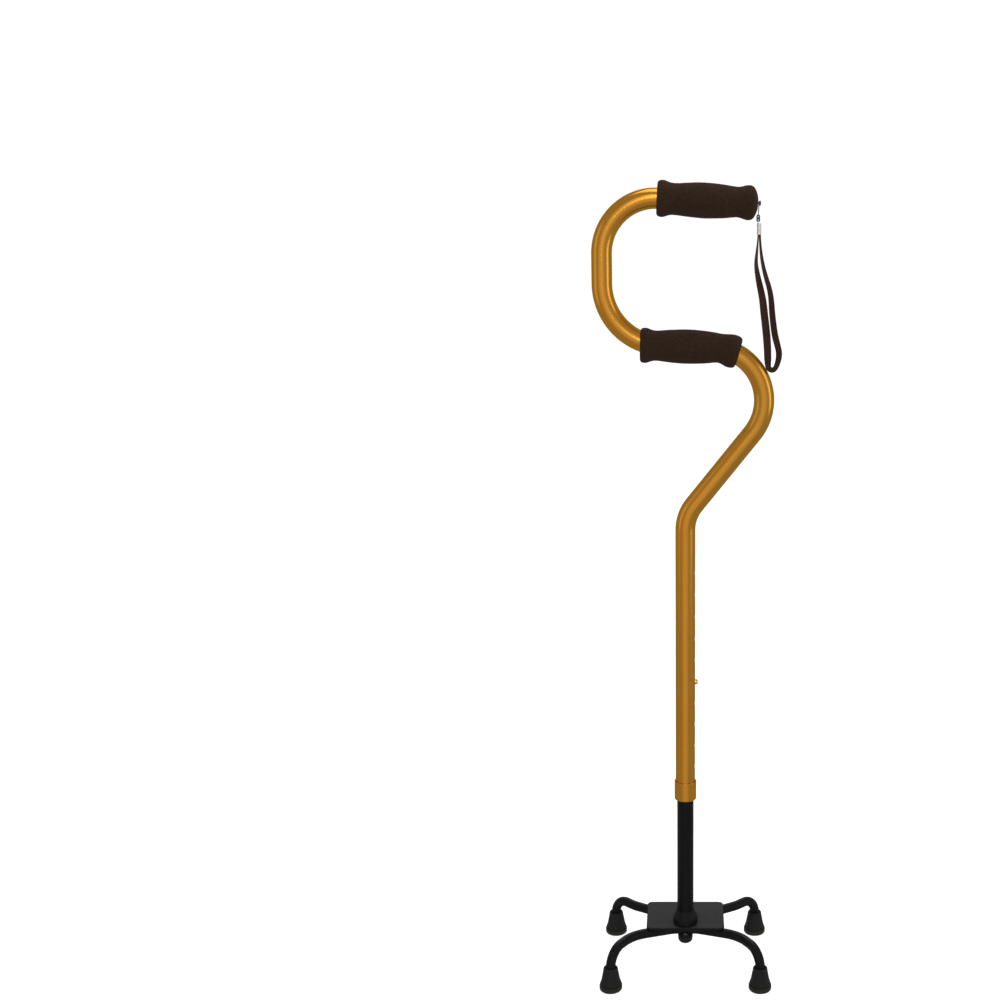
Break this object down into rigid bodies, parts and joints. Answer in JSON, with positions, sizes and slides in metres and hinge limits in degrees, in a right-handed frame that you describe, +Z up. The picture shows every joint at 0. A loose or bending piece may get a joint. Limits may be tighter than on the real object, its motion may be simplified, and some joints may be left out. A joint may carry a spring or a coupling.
{
  "type": "quad walking cane",
  "caption": "Walking cane with two foam grips on an S-bent telescopic shaft, a wrist strap, and a low base with four rubber-tipped legs.",
  "frame": {"origin": "on the floor, on the axis of the straight shaft", "axes": "+Z up along the shaft; +X along the grips, the way the user walks; +Y away from the user's leg, the side the base reaches further to"},
  "size_m": [0.2029, 0.158, 0.9066],
  "materials": {
    "anodised_gold": "satin anodised gold-bronze",
    "grip_foam": "matte foam with fine ribs",
    "black_aluminium": "satin black anodised",
    "black_powder_coat": "satin powder coat",
    "tip_rubber": "matte moulded rubber",
    "black_plastic": "moulded",
    "button_brass": "polished",
    "spring_steel": "blued",
    "zinc_steel": "zinc plated",
    "strap_fabric": "woven webbing",
    "cord_nylon": "clear grey nylon",
    "crimp_metal": "satin"
  },
  "bodies": {
    "base": {"inner_tube": "black_aluminium", "inner_tube_plug": "black_plastic", "button_spring": "spring_steel", "hub": "black_powder_coat", "base_plate": "black_powder_coat", "front_leg_tube": "black_powder_coat", "back_leg_tube": "black_powder_coat", "hub_bolt": "zinc_steel", "hub_washer": "black_powder_coat", "hub_nut": "zinc_steel", "nut_cap": "black_plastic", "foot_tip_front_left": "tip_rubber", "foot_tip_front_right": "tip_rubber", "foot_tip_back_left": "tip_rubber", "foot_tip_back_right": "tip_rubber", "foot_washers": "zinc_steel"},
    "button": {"snap_button": "button_brass"},
    "handle": {"handle_tube": "anodised_gold", "upper_grip": "grip_foam", "lower_grip": "grip_foam", "tube_end_plug": "black_plastic", "strap_rivet": "black_plastic", "collar_bush": "black_plastic"},
    "collar": {"lock_collar": "anodised_gold"},
    "strap_hanger": {"strap_cord": "cord_nylon", "strap_link": "black_plastic"},
    "strap": {"strap_clamp": "crimp_metal", "strap_webbing": "strap_fabric"}
  },
  "joints": [
    {"name": "height_slide", "type": "slide", "parent": "base", "child": "handle", "axis": [0, 0, 1], "range_m": [-0.127, 0.1016], "deforming": ["snap_button"]},
    {"name": "button_press", "type": "slide", "parent": "base", "child": "button", "axis": [-1, 0, 0], "range_m": [0, 0.0047], "stiffness_N_per_m": 900, "springref_m": -0.003, "deforming": ["button_spring"]},
    {"name": "collar_turn", "type": "hinge", "parent": "handle", "child": "collar", "pos_m": [0, 0, 0.221], "axis": [0, 0, -1], "range_deg": [0, 180]},
    {"name": "hanger_sway", "type": "hinge", "parent": "handle", "child": "strap_hanger", "pos_m": [0.07817, 0, 0.88224], "axis": [0.9988, 0, -0.048], "range_deg": [-60, 60]},
    {"name": "strap_swing", "type": "hinge", "parent": "strap_hanger", "child": "strap", "pos_m": [0.07751, 0, 0.86476], "axis": [0, -1, 0], "range_deg": [0, 60]}
  ]
}
